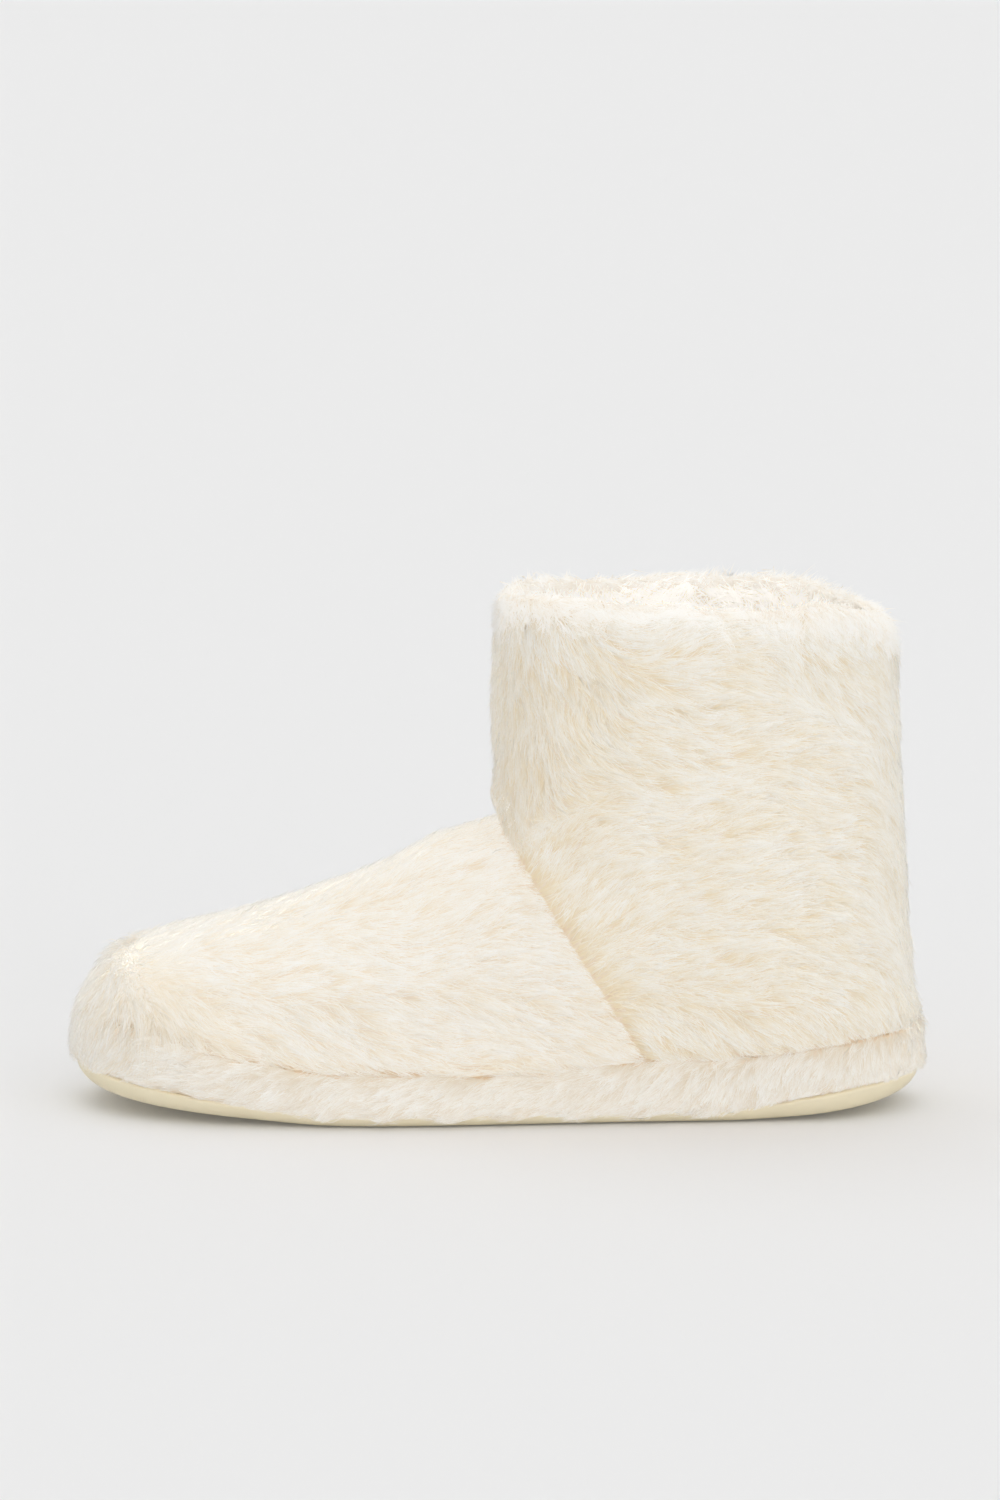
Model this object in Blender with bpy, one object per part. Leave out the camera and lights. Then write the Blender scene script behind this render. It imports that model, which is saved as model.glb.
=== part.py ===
"""Plush ankle-boot slipper for the left foot, empty and standing on its sole.

Metres, +Z up. The toe points to -X, the outer side of the foot to -Y, and the floor is z = 0. Four pieces:
a rubber outsole, a midsole wrapped in a strip of fur, an insole, and one hollow fur upper that is open at the
collar and underneath. Tables are in millimetres, a row for each section.
"""

from collections import namedtuple

import bmesh
import bpy
import numpy as np
from mathutils import Vector

MM = 0.001

# Driving sizes
LENGTH = 270 * MM  # over the fur of the midsole, toe to heel
TOE_ROUND = 58 * MM  # length of the rounded toe in plan
HEEL_ROUND = 42 * MM  # length of the rounded heel in plan
TOE_SWING = 4 * MM  # how far the toe turns towards the inner side
TOE_BLUNT = 2.3  # exponents of the rounded ends in plan
HEEL_BLUNT = 2.2
GAP = 0.3 * MM  # between pieces that touch

OUTSOLE_INSET = 2.4 * MM  # the outsole stands back under the fur of the midsole
UPPER_INSET = 3.0 * MM  # the upper stands back above the fur of the midsole
WALL = 6.5 * MM  # fur, knitted backing and plush lining pressed together
INSOLE_THICK = 5.0 * MM
INSOLE_INSET = 10.6 * MM  # the insole lies inside the upper's wall
INSOLE_ENDS = 5.0 * MM  # and stops short of its sloping toe and heel

COLLAR_FRONT = 160.5 * MM  # height of the collar above the floor
COLLAR_BACK = 153.5 * MM
COLLAR_ROLL = 1.6 * MM  # the collar swells by this on both faces
COLLAR_ROLL_DEPTH = 16 * MM
RIM_RISE = 3.4 * MM  # the collar's edge is rounded by this much
DOME_RISE = 2.3  # exponents of the vamp's arched sections
DOME_SPREAD = 1.9
SHAFT_ROUND = 2.35  # exponent of the shaft's oval
BLEND = 9 * MM  # foot and shaft flow together over this much

SEAM_TOP = (0.5 * MM, 90 * MM)  # x and z of the vamp seam at the throat and at the midsole
SEAM_FOOT = (44 * MM, 22 * MM)
SEAM_HALF_WIDTH = 3.2 * MM
SEAM_DEPTH = 1.8 * MM

RING = 64  # points round a section
FRONT_STEPS = 36  # sections of the upper's outer face, counted along its front
LINING_STEPS = 13

# The rubber column is the outsole's thickness, and the fringe column how far the midsole's fur hangs over it
Sole = namedtuple("Sole", "name x outer inner ground rubber fringe feather")
SOLE = (
    Sole("toe tip", -135, 46, 46, 8.6, 6.0, 0, 29.0),
    Sole("toe", -118, 47, 47, 5.4, 7.4, 0, 29.5),
    Sole("toe joint", -100, 48, 48, 3.4, 7.0, 0, 26.0),
    Sole("tread", -78, 49.5, 48.5, 1.8, 5.6, 0.6, 21.0),
    Sole("ball", -48, 51, 48.5, 0, 4.6, 2.2, 17.6),
    Sole("waist front", 18, 45.5, 41, 0, 4.6, 2.2, 16.6),
    Sole("waist back", 32, 44, 40, 0, 4.6, 2.2, 19.6),
    Sole("heel breast", 70, 41, 39.5, 0, 4.6, 2.0, 21.0),
    Sole("heel", 92, 40, 39, 0.8, 7.2, 0, 23.2),
    Sole("heel curve", 112, 39.5, 38.5, 2.8, 8.4, 0, 26.2),
    Sole("heel end", 135, 39, 38, 7.0, 6.0, 0, 28.2),
)

Foot = namedtuple("Foot", "name x ridge")
FOOT = (
    Foot("toe foot", -132.5, 30.0),
    Foot("toe wall", -130, 38.0),
    Foot("toe crown", -123, 48.6),
    Foot("toe box", -112, 52.8),
    Foot("toes", -90, 58.6),
    Foot("ball", -65, 66.0),
    Foot("vamp", -40, 75.0),
    Foot("instep", -16, 87.0),
    Foot("throat", 0, 91.0),
    Foot("ankle", 60, 116.0),
    Foot("heel", 112, 70.0),
    Foot("heel end", 132.5, 30.6),
)

Shaft = namedtuple("Shaft", "name z front back outer inner")
SHAFT = (
    Shaft("heel", 24, 36, 131.8, 37.0, 36.0),
    Shaft("heel curve", 45, 24, 130.0, 39.5, 38.5),
    Shaft("ankle", 75, 8, 128.4, 43.5, 42.5),
    Shaft("throat", 92, -0.5, 127.2, 45.0, 44.0),
    Shaft("shaft", 120, -2.5, 126.0, 46.0, 45.0),
    Shaft("neck", 146, -2.0, 125.5, 46.5, 45.5),
    Shaft("collar", 162, -1.5, 124.0, 47.0, 46.0),
)

# Rounded sides of the sole pieces: how far in from the outline, and height as a share of the side
Edge = namedtuple("Edge", "inset share")
OUTSOLE_EDGE = (
    Edge(7.0, 0),
    Edge(3.2, 0.14),
    Edge(1.2, 0.45),
    Edge(0.3, 0.8),
    Edge(0, 1.0),
)
MIDSOLE_EDGE = (
    Edge(2.4, 0),
    Edge(0.9, 0.12),
    Edge(0, 0.38),
    Edge(0.2, 0.66),
    Edge(1.3, 0.88),
    Edge(3.0, 1.0),
    Edge(9.5, 1.0),
)
INSOLE_EDGE = (
    Edge(0, 0),
    Edge(0, 0.7),
    Edge(1.6, 1.0),
)

# Which way the fur lies, seen from the side: 0 degrees towards the heel, 90 upwards
Nap = namedtuple("Nap", "name x z degrees")
NAP = (
    Nap("toe front", -131, 32, -100),
    Nap("toe side", -112, 34, -50),
    Nap("toe top", -112, 52, 5),
    Nap("vamp top", -55, 66, 15),
    Nap("vamp side", -60, 34, -12),
    Nap("instep", -8, 82, 15),
    Nap("vamp back", 5, 40, -22),
    Nap("shaft front", 0, 125, -90),
    Nap("throat", 6, 98, -85),
    Nap("above the seam", 38, 75, 30),
    Nap("collar", 55, 155, 12),
    Nap("shaft side", 70, 115, 4),
    Nap("quarter", 75, 60, 8),
    Nap("above the band", 75, 28, -32),
    Nap("shaft back", 124, 115, -60),
    Nap("heel back", 128, 55, -75),
)
NAP_REACH = 22 * MM

# Locks of fur raised from the wall of the upper and of the midsole
LOCK_PITCH = 15 * MM  # up the wall, from one row of locks to the next but one
LOCK_RELIEF = 1.2 * MM  # a lock stands out by this, and the gap beside it lies as deep
LOCK_LEAN = 4.0 * MM  # a lock's tip leans this far along the nap
LOCK_CLEAR = 7 * MM  # distance over which locks grow beside a seam
FRINGE_LEAN = 3.0 * MM  # the midsole's lowest locks lean this far towards the toe


def column(table, name):
    """One column of a table, in metres."""
    return np.array([getattr(row, name) for row in table]) * MM


def through(stations, values, at):
    """A monotone cubic through the rows of a table, level beyond its ends."""
    at = np.clip(at, stations[0], stations[-1])
    step = np.diff(stations)
    slope = np.diff(values) / step
    same_way = slope[:-1] * slope[1:] > 0
    total = np.where(same_way, slope[:-1] + slope[1:], 1)
    middle = np.where(same_way, 2 * slope[:-1] * slope[1:] / total, 0)
    tangent = np.concatenate((slope[:1], middle, slope[-1:]))
    i = np.clip(np.searchsorted(stations, at) - 1, 0, len(step) - 1)
    t = (at - stations[i]) / step[i]
    ends = values[i] * (1 + 2 * t) * (1 - t) ** 2 + values[i + 1] * t * t * (3 - 2 * t)
    return ends + step[i] * t * (1 - t) * (tangent[i] * (1 - t) - tangent[i + 1] * t)


def sole_value(name, x):
    return through(column(SOLE, "x"), column(SOLE, name), x)


def shaft_value(name, z):
    return through(column(SHAFT, "z"), column(SHAFT, name), z)


def rounded(t, rise, spread):
    """1 at t = 0, falling to 0 at t = 1 along a superellipse."""
    return (1 - np.clip(t, 0, 1) ** rise) ** (1 / spread)


def middle_line(x):
    """The plan's middle line, which turns towards the inner side at the toe."""
    t = np.clip((x + 10 * MM) / (10 * MM - LENGTH / 2), 0, 1)
    return TOE_SWING * t * t * (3 - 2 * t)


def half_width(side, x, inset, ends=0.0):
    """Half-width in plan on one side of the middle line, drawn in by an inset, and by more at the ends."""
    toe = (TOE_ROUND - LENGTH / 2 - x) / (TOE_ROUND - inset - ends)
    heel = (x - LENGTH / 2 + HEEL_ROUND) / (HEEL_ROUND - inset - ends)
    round_ends = rounded(toe, TOE_BLUNT, TOE_BLUNT) * rounded(heel, HEEL_BLUNT, HEEL_BLUNT)
    return (sole_value(side, x) - inset) * round_ends


def collar_height(x):
    return np.interp(x, (0, LENGTH / 2), (COLLAR_FRONT, COLLAR_BACK))


def level_height(x, level):
    """Height of a section of the upper: level 0 follows the midsole and level 1 the collar."""
    foot = sole_value("feather", x) + GAP
    return foot + level * (collar_height(x) - foot)


def ridge_height(x, inset):
    return through(column(FOOT, "x") + inset, column(FOOT, "ridge") - 0.8 * inset, x)


def larger(a, b):
    """The larger of two half-widths, rounded where they cross."""
    near = np.clip(1 - np.abs(a - b) / BLEND, 0, 1)
    return np.maximum(a, b) + BLEND * near * near / 4


def collar_swell(level):
    """How far the wall swells at a level near the collar."""
    depth = (1 - level) * COLLAR_FRONT / COLLAR_ROLL_DEPTH
    return COLLAR_ROLL * rounded(depth, 2, 1)


def upper_half_width(side, x, z, inset):
    """Half-width of the upper: the arched foot and the oval shaft flow into each other."""
    foot_z = sole_value("feather", x) + GAP
    rise = (z - foot_z) / np.maximum(ridge_height(x, inset) - foot_z, 0.1 * MM)
    arch = rounded(rise, DOME_RISE, DOME_SPREAD)
    foot = np.where(rise < 1, half_width(side, x, UPPER_INSET + inset) * arch, -1)
    front = shaft_value("front", z) + inset
    back = shaft_value("back", z) - inset
    off_middle = np.abs(2 * x - front - back) / (back - front)
    oval = (shaft_value(side, z) - inset) * rounded(off_middle, SHAFT_ROUND, SHAFT_ROUND)
    return larger(foot, np.where(off_middle < 1, oval, -1))


def evenly(points, count):
    """The same line through evenly spaced points."""
    run = np.concatenate(([0], np.cumsum(np.linalg.norm(np.diff(points, axis=0), axis=1))))
    at = np.linspace(0, run[-1], count)
    return np.stack([np.interp(at, run, points[:, k]) for k in range(3)], axis=1)


def ring_through(x, outer, inner, z):
    """A closed ring: the outer side from toe to heel, then the inner side back to the toe."""
    there = evenly(np.stack((x, -outer, z), axis=1), RING // 2 + 1)
    back = evenly(np.stack((x, inner, z), axis=1)[::-1], RING // 2 + 1)
    return np.concatenate((there[:-1], back[:-1]))


def steps_between(first, last, count=500):
    """Stations between two ends, close together near both."""
    return first + (last - first) * (1 - np.cos(np.linspace(0, np.pi, count))) / 2


def upper_ring(level, inset, lift=0.0):
    """One section of the upper at a level, drawn in by an inset. The lowest follows the sole's outline."""
    if level == 0:
        return sole_ring(UPPER_INSET + inset, lambda x: level_height(x, 0))
    x = np.linspace(-LENGTH / 2, LENGTH / 2, 4000)
    z = level_height(x, level)
    there = np.flatnonzero(upper_half_width("outer", x, z, inset) > 0)
    x = steps_between(x[there[0]], x[there[-1]])
    z = level_height(x, level)
    sides = [np.maximum(upper_half_width(side, x, z, inset), 0) for side in ("outer", "inner")]
    for side in sides:
        side[[0, -1]] = 0
    line = middle_line(x)
    return ring_through(x, sides[0] - line, sides[1] + line, z + lift)


def front_levels(steps):
    """Levels that are evenly spaced along the front: up the toe, along the vamp and up the shaft."""
    x = np.linspace(column(FOOT, "x")[0], SEAM_TOP[0], 400)
    z = ridge_height(x, 0)
    shaft_z = np.linspace(z[-1], COLLAR_FRONT, 100)[1:]
    x = np.concatenate((x, np.full(len(shaft_z), x[-1])))
    z = np.concatenate((z, shaft_z))
    run = np.concatenate(([0], np.cumsum(np.hypot(np.diff(x), np.diff(z)))))
    foot = sole_value("feather", x) + GAP
    levels = (z - foot) / (collar_height(x) - foot)
    levels = np.interp(np.linspace(0, run[-1], steps), run, levels)
    levels[0], levels[-1] = 0, 1
    return levels


def close_across(mesh, row):
    """Closes a ring with strips that run from its outer side to its inner side."""
    outer = row[: RING // 2 + 1]
    inner = row[:1] + row[: RING // 2 - 1 : -1]
    for i in range(RING // 2):
        if i > 0:
            mesh.faces.new((outer[i], outer[i + 1], inner[i]))
        if i < RING // 2 - 1:
            mesh.faces.new((outer[i + 1], inner[i + 1], inner[i]))


def loft(name, rings, joined_ends=False):
    """A closed solid through rings of equal count: closed at both ends, or joined end to end."""
    mesh = bmesh.new()
    rows = [[mesh.verts.new(point) for point in ring] for ring in rings]
    pairs = list(zip(rows, rows[1:]))
    if joined_ends:
        pairs.append((rows[-1], rows[0]))
    else:
        close_across(mesh, rows[0])
        close_across(mesh, rows[-1])
    for low, high in pairs:
        for i in range(RING):
            j = (i + 1) % RING
            mesh.faces.new((low[i], low[j], high[j], high[i]))
    bmesh.ops.triangulate(mesh, faces=mesh.faces, quad_method="SHORT_EDGE")
    bmesh.ops.recalc_face_normals(mesh, faces=mesh.faces)
    data = bpy.data.meshes.new(name)
    mesh.to_mesh(data)
    mesh.free()
    return bpy.data.objects.new(name, data)


def sole_ring(inset, height, ends=0.0):
    """A ring of the sole's outline drawn in by an inset, at a height given as a function of x."""
    reach = LENGTH / 2 - inset - ends
    x = steps_between(-reach, reach)
    line = middle_line(x)
    outer = half_width("outer", x, inset, ends) - line
    inner = half_width("inner", x, inset, ends) + line
    return ring_through(x, outer, inner, height(x))


def sole_rings(inset, edge, low, high, ends=0.0):
    """Rings of a sole piece between two heights given as functions of x, with a rounded side."""

    def share_height(share):
        return lambda x: low(x) + share * (high(x) - low(x))

    return [sole_ring(inset + row.inset * MM, share_height(row.share), ends) for row in edge]


def ground(x):
    return sole_value("ground", x)


def outsole_top(x):
    return ground(x) + sole_value("rubber", x)


def midsole_bottom(x):
    return outsole_top(x) + GAP


def midsole_top(x):
    return sole_value("feather", x)


def insole_bottom(x):
    return midsole_top(x) + GAP


def insole_top(x):
    return insole_bottom(x) + INSOLE_THICK


def make_outsole():
    return loft("outsole", sole_rings(OUTSOLE_INSET, OUTSOLE_EDGE, ground, outsole_top))


def make_midsole():
    """The wrapped midsole: its fur stands out in locks, and the lowest hang over the outsole's side."""
    rings = sole_rings(0, MIDSOLE_EDGE, midsole_bottom, midsole_top)
    rings.append(sole_ring(INSOLE_INSET, midsole_top, INSOLE_ENDS))
    hem, belly, brow = rings[1:4]
    round_sole = unit(np.roll(belly, -1, axis=0) - np.roll(belly, 1, axis=0))
    out = np.cross(round_sole, (0, 0, 1))
    to_toe = round_sole * np.where(np.arange(RING) < RING // 2, -1, 1)[:, None]
    lock = (np.arange(RING) % 2)[:, None]
    stand_out = out * LOCK_RELIEF + to_toe * FRINGE_LEAN
    hem += lock * stand_out
    hanging = midsole_bottom(hem[:, 0]) - sole_value("fringe", hem[:, 0])
    hem[:, 2] = np.where(lock[:, 0], hanging, hem[:, 2])
    belly += lock * stand_out
    brow += (1 - lock) * stand_out
    return loft("midsole_wrap", rings)


def make_insole():
    rings = sole_rings(INSOLE_INSET, INSOLE_EDGE, insole_bottom, insole_top, INSOLE_ENDS)
    return loft("insole", rings)


def nap_directions(points):
    """The direction of the fur at each point, from the nearest rows of the table."""
    dx = points[..., 0, None] - column(NAP, "x")
    dz = points[..., 2, None] - column(NAP, "z")
    weight = 1 / (0.05 + (np.hypot(dx, dz) / NAP_REACH) ** 4)
    angle = np.radians([row.degrees for row in NAP])
    flow = np.stack((weight @ np.cos(angle), np.zeros(points.shape[:-1]), weight @ np.sin(angle)), axis=-1)
    return unit(flow)


def unit(vectors):
    return vectors / np.maximum(np.linalg.norm(vectors, axis=-1, keepdims=True), 1e-9)


def seam_frame():
    """A point on the seam's plane and the plane's normal, which points to the shaft."""
    along = Vector((SEAM_FOOT[0] - SEAM_TOP[0], 0, SEAM_FOOT[1] - SEAM_TOP[1])).normalized()
    return Vector((SEAM_TOP[0], 0, SEAM_TOP[1])), Vector((-along.z, 0, along.x))


def raise_locks(rings):
    """Raises every other point of the outer face into a lock of fur that leans along the nap."""
    rings = np.array(rings)
    along = np.roll(rings, -1, axis=1) - np.roll(rings, 1, axis=1)
    out = unit(np.cross(along, np.gradient(rings, axis=0)))
    climb = np.cumsum(np.linalg.norm(np.diff(rings, axis=0, prepend=rings[:1]), axis=2), axis=0)
    every_other = 1 - 2 * (np.arange(RING) % 2)
    wave = every_other * np.cos(2 * np.pi * climb / LOCK_PITCH)
    start, normal = seam_frame()
    off_seam = np.abs((rings - np.array(start)) @ np.array(normal))
    off_seam[rings[..., 2] > SEAM_TOP[1] + LOCK_CLEAR] = 1
    wave *= 1 - np.exp(-((np.minimum(off_seam, climb) / LOCK_CLEAR) ** 2))
    flow = nap_directions(rings)
    flow = unit(flow - out * np.sum(flow * out, axis=2, keepdims=True))
    lean = LOCK_LEAN * np.clip(wave, 0, 1)[..., None] * flow
    return list(rings + LOCK_RELIEF * wave[..., None] * out + lean)


def make_upper():
    """The fur wall: up its outer face, over the rounded collar and down its lining."""
    rings = [upper_ring(level, -collar_swell(level)) for level in front_levels(FRONT_STEPS)]
    rings = raise_locks(rings)
    swell = collar_swell(1)
    thick = WALL + 2 * swell
    for across in (0.18, 0.5, 0.82):
        rise = RIM_RISE * rounded(abs(2 * across - 1), 2, 2)
        rings.append(upper_ring(1, across * thick - swell, rise))
    for level in front_levels(LINING_STEPS)[::-1]:
        rings.append(upper_ring(level, WALL + collar_swell(level)))
    return loft("upper", rings, joined_ends=True)


def sew_seam(upper):
    """Draws the outer face in along the seam between vamp and shaft."""
    start, normal = seam_frame()
    core = Vector((SEAM_FOOT[0], 0, SEAM_TOP[1] / 2))
    mesh = bmesh.new()
    mesh.from_mesh(upper.data)
    for side in (-1, 0, 1):
        everything = mesh.verts[:] + mesh.edges[:] + mesh.faces[:]
        at = start + normal * (side * SEAM_HALF_WIDTH)
        bmesh.ops.bisect_plane(mesh, geom=everything, plane_co=at, plane_no=normal, dist=0.01 * MM)
    bmesh.ops.triangulate(mesh, faces=mesh.faces)
    mesh.normal_update()
    for vert in mesh.verts:
        off_seam = abs((vert.co - start).dot(normal)) / SEAM_HALF_WIDTH
        outside = vert.normal.dot(vert.co - core) > 0
        below_throat = vert.co.z < SEAM_TOP[1] + SEAM_HALF_WIDTH
        if off_seam < 1 and outside and below_throat and vert.normal.z > -0.2:
            vert.co += (core - vert.co).normalized() * SEAM_DEPTH * (1 - off_seam)
    mesh.to_mesh(upper.data)
    mesh.free()


def stand_on_origin(pieces, holder):
    """Moves the holder of all pieces so that the middle of their box stands on the origin."""
    bpy.context.view_layer.update()
    graph = bpy.context.evaluated_depsgraph_get()
    corners = np.array([c for piece in pieces for c in piece.evaluated_get(graph).bound_box])
    middle = (corners.min(axis=0) + corners.max(axis=0)) / 2
    holder.location = (-middle[0], -middle[1], -corners[:, 2].min())


def material(name, colour, roughness):
    made = bpy.data.materials.new(name)
    made.use_nodes = True
    shader = made.node_tree.nodes["Principled BSDF"]
    shader.inputs["Base Color"].default_value = (*colour, 1)
    shader.inputs["Roughness"].default_value = roughness
    shader.inputs["Metallic"].default_value = 0
    return made


def collection(name):
    made = bpy.data.collections.new(name)
    bpy.context.scene.collection.children.link(made)
    return made


def main():
    for old in list(bpy.data.objects):
        bpy.data.objects.remove(old, do_unlink=True)
    slipper = collection("plush_slipper")
    holder = bpy.data.objects.new("slipper", None)
    slipper.objects.link(holder)
    upper = make_upper()
    sew_seam(upper)
    pieces = (
        (make_outsole(), material("rubber", (0.77, 0.70, 0.48), 0.45)),
        (make_midsole(), material("fur_band", (0.86, 0.80, 0.69), 0.9)),
        (make_insole(), material("plush", (0.93, 0.90, 0.86), 0.9)),
        (upper, material("fur", (0.87, 0.80, 0.70), 0.9)),
    )
    for piece, finish in pieces:
        piece.data.materials.append(finish)
        piece.parent = holder
        slipper.objects.link(piece)
    stand_on_origin([piece for piece, finish in pieces], holder)


main()
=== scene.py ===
"""Looks of the plush ankle boot slipper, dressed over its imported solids.

The toe points to -X and the outer side of this left slipper to -Y. Sizes are in metres.
"""

import math
from collections import namedtuple

import bpy
import numpy as np
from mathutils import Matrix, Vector
from mathutils.bvhtree import BVHTree


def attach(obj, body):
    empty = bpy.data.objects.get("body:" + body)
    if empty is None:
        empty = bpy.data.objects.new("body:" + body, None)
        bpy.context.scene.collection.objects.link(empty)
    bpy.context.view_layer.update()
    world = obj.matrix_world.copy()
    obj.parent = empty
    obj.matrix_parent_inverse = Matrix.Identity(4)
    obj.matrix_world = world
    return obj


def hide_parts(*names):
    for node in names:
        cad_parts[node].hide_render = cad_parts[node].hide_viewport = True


MM = 0.001

# The vamp seam on the side of the slipper, as x and z from the throat down to the sole
VAMP_SEAM = np.array([(0.5, 90), (17, 64), (34, 42), (44, 22)]) * MM
# Top edge of the fur band round the sole, as x and z
BAND_TOP = np.array([
    (-136, 29), (-118, 29.5), (-100, 26), (-78, 21), (-48, 17.6), (18, 16.6),
    (32, 19.6), (70, 21), (92, 23.2), (112, 26.2), (136, 28.2),
]) * MM
# Bottom edge of the band, and how far its fur hangs below that
BAND_FOOT = np.array([
    (-136, 14.9), (-118, 13.1), (-100, 10.7), (-78, 7.7), (-48, 4.9), (70, 4.9),
    (92, 8.3), (112, 11.5), (136, 13.3),
]) * MM
BAND_FRINGE = np.array([
    (-136, 2.0), (-126, 1.2), (-118, 0.8), (-100, 1.0), (-78, 1.2), (-65, 1.8), (-50, 3.0), (40, 3.4),
    (70, 2.4), (82, 1.4), (92, 0.6), (136, 0.6),
]) * MM
# How far the band's wall stands back over the rubber, towards both ends of the sole
BAND_ENDS = np.array([(-90, 1), (-60, 0), (74, 0), (96, 1)]) * (MM, 1)
# Where the fur of the vamp runs on down over the band, from x to x
TOE_COAT = (-94 * MM, -108 * MM)
# The top of the toe as x and z, where the fur parts and grows thicker, and how far round it
TOE_WHORL = np.array([-111, 53]) * MM
WHORL_WIDTH = 10 * MM
# Top of the collar, as x and z
COLLAR_TOP = np.array([(-3, 155.5), (8, 160.5), (100, 155.5), (126, 149)]) * MM
# How much the soft roll of the collar puffs up above that, on the outer and on the inner side
OUTER_PUFF = np.array([
    (-6, 0), (6, 2.0), (20, 3.0), (80, 3.2), (92, 5.0), (102, 6.2), (112, 4.6), (122, 0.6),
]) * MM
INNER_PUFF = np.array([
    (-6, 0), (10, 0), (40, -0.4), (66, 2.2), (90, 3.2), (104, 2.0), (118, 0),
]) * MM
# A line through the hollow of the slipper, from the toe back and up out of the shaft
HOLLOW = np.array([(-110, 35), (40, 50), (62, 90), (62, 170)]) * MM

# How the pile is combed: x and z on the side, in mm, and which way the tips point there.
# 0 degrees is towards the heel and 90 is up.
VAMP_COMB = (
    (-134, 30, -110), (-134, 18, -125), (-128, 26, -122), (-125, 36, -112), (-124, 47, -100),
    (-118, 51, -104), (-124, 17, -148), (-112, 14, -165), (-98, 11, -168), (-115, 43, -66), (-112, 50, -46),
    (-118, 26, -100), (-105, 53, 16), (-107, 43, -14), (-107, 34, -62), (-103, 25, -62),
    (-98, 46, -10), (-98, 56, 8), (-86, 40, -36), (-84, 26, -36), (-74, 60, 6), (-70, 44, -18),
    (-66, 28, -32), (-50, 70, 12), (-50, 52, 4), (-48, 34, -14), (-46, 22, -24), (-25, 82, 18),
    (-22, 64, 12), (-20, 46, 0), (-18, 30, -14), (4, 74, 16), (8, 56, 4), (16, 40, -10),
    (20, 24, -24), (36, 26, -24),
)
SHAFT_COMB = (
    (-2, 156, -88), (-2, 130, -90), (0, 108, -88), (6, 94, -80), (14, 148, -84), (15, 128, -88),
    (16, 110, -74), (16, 88, 62), (24, 152, -50), (27, 136, -62), (30, 120, -42), (28, 104, 4),
    (24, 76, 44), (34, 90, 28), (33, 60, 34), (42, 46, 26), (46, 150, 8), (46, 132, -16),
    (48, 112, -2), (50, 92, 14), (52, 70, 16), (58, 54, 16), (48, 34, -34), (56, 28, -38),
    (70, 152, 10), (72, 130, 2), (74, 108, 6), (76, 84, 8), (78, 62, 6), (80, 46, 4),
    (74, 33, -34), (90, 28, -40), (98, 142, -50), (96, 122, -6), (100, 98, -2), (102, 74, -4),
    (104, 50, -6), (108, 32, -44), (114, 146, -36), (120, 124, -34), (122, 98, -30),
    (124, 72, -34), (126, 48, -46), (127, 30, -66), (128, 110, -72), (131, 70, -74), (132, 40, -78),
)
# On the collar the last number says how far the tips also sweep to the outer side.
RIM_COMB = (
    (-4, 150, -70, 0.6), (6, 158, -20, 1.6), (30, 158, 0, 2.2), (60, 156, 10, 2.2), (90, 155, 0, 2.2),
    (110, 151, -24, 1.4), (126, 144, -60, 0.6),
)
BAND_COMB = (
    (-134, 20, -150), (-120, 18, -166), (-90, 12, -164), (-50, 8, -156), (-10, 7, -152),
    (30, 8, -142), (62, 9, -126), (92, 12, -112), (116, 14, -100), (134, 16, -94),
)
INSOLE_COMB = ((0, 20, 0),)

# Creases and swells pressed into the fur: a path of x and z in mm, half width and depth.
# A negative depth is a swell.
CREASES = (
    (((-119, 37), (-121, 32)), 3.2, 2.0),
    (((-113, 44), (-104, 36), (-95, 24)), 6.5, -1.2),
    (((-88, 42), (-76, 30), (-64, 20)), 5.0, 0.9),
    (((24, 154), (27, 138), (29, 118)), 5.0, 1.0),
    (((40, 38), (60, 41), (83, 43)), 3.5, 1.1),
    (((17, 84), (24, 96), (34, 108)), 5.0, 0.8),
)
SEAM_CREASE = (2.4, 1.3)  # half width and depth in mm along the vamp seam
# Ruffled spots: x, z and radius in mm, and how many times wilder the locks lie there
RUFFLES = (
    (-109, 38, 11, 2.4), (-92, 30, 10, 1.0), (100, 142, 9, 1.5), (24, 142, 9, 2.0),
    (14, 84, 8, 1.5),
)

LOCK = 11  # strands to a lock of fur
LOCK_RANGE = (0.7, 1.25)  # how much length and rise differ from lock to lock
STRAND_RANGE = (0.75, 1.2)  # how much rise and width differ from strand to strand
STRAND_ROLL = math.radians(26)  # how far strands turn about their own length
LOOSE_SPREAD = 1.8  # how many times wider loose strands spread than their lock
STRAY_TIPS, STRAY_RISE = 0.02, 1.6 * MM  # share of the tips that stand up from the rest, and how far
LIFT = 1.5 * MM  # how far over the skin the next place of a lock is looked for
PARTING = 2.2 * MM  # radius of a place where locks part
SHADED_PARTING = 2.6 * MM  # and of the shade in it
PARTING_SHADE, FLECK_SHADE = 0.34, 0.40  # how much lower the tone is in a parting, and on a fleck
FLOOR_GAP = 0.4 * MM  # no strand hangs lower than this over the floor
ALONG_WALL = 0.6  # a comb stroke that keeps less than this of its length meets the wall head on
BACKING_CORE = 2.8 * MM  # what is left of the upper's wall, at least, between its two sides
LINING_DEPTH = 1.8 * MM  # how far that wall is drawn in on its inner side, at most
HEM_DROP = 4.2 * MM  # how far the hem of the upper comes down onto the band

# A surface for fur to grow on
Skin = namedtuple("Skin", "points normals triangles centres facing areas tree")
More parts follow.
